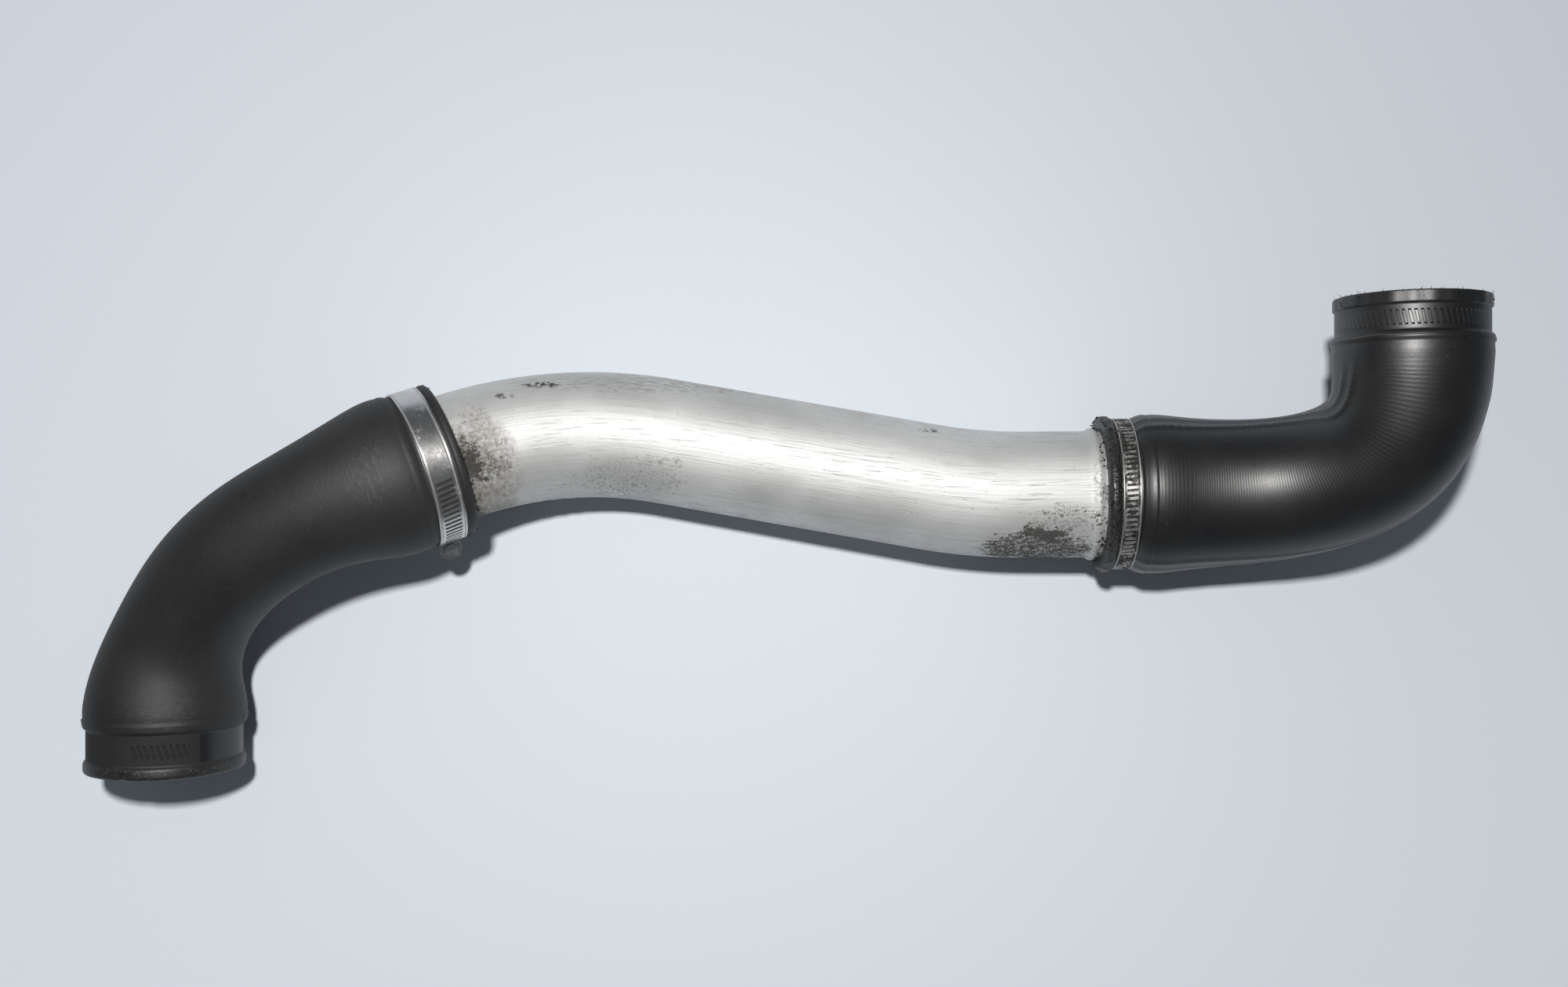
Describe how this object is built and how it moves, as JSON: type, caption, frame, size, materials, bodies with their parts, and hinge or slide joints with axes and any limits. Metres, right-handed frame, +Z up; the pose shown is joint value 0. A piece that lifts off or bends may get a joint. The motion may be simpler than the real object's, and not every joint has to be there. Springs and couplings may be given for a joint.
{
  "type": "charge air hose",
  "caption": "Engine air duct: a gently bent aluminium pipe with a moulded rubber elbow clamped on each end by a worm drive hose clamp, each elbow ending in an open lipped mouth.",
  "frame": {"origin": "centre of the left mouth's rim", "axes": "+X from the left mouth towards the right one, +Y from the left mouth's rim into its hose, +Z up from the floor the duct lies on"},
  "size_m": [0.6447, 0.2174, 0.1195],
  "materials": {
    "pipe_aluminium": "satin drawn, stained and scratched",
    "left_rubber": "matte charcoal, dusty",
    "right_rubber": "semi gloss black, fine wrap lines",
    "left_clamp_steel": "bright rolled strip",
    "right_clamp_steel": "grimy, worn bright at the edges",
    "screw_steel": "plated, dulled"
  },
  "bodies": {
    "root": {"aluminium_pipe": "pipe_aluminium", "left_elbow_hose": "left_rubber", "right_elbow_hose": "right_rubber", "left_clamp_band": "left_clamp_steel", "left_clamp_housing": "left_clamp_steel", "left_worm_screw": "screw_steel", "right_clamp_band": "right_clamp_steel", "right_clamp_housing": "right_clamp_steel", "right_worm_screw": "screw_steel"}
  },
  "joints": []
}
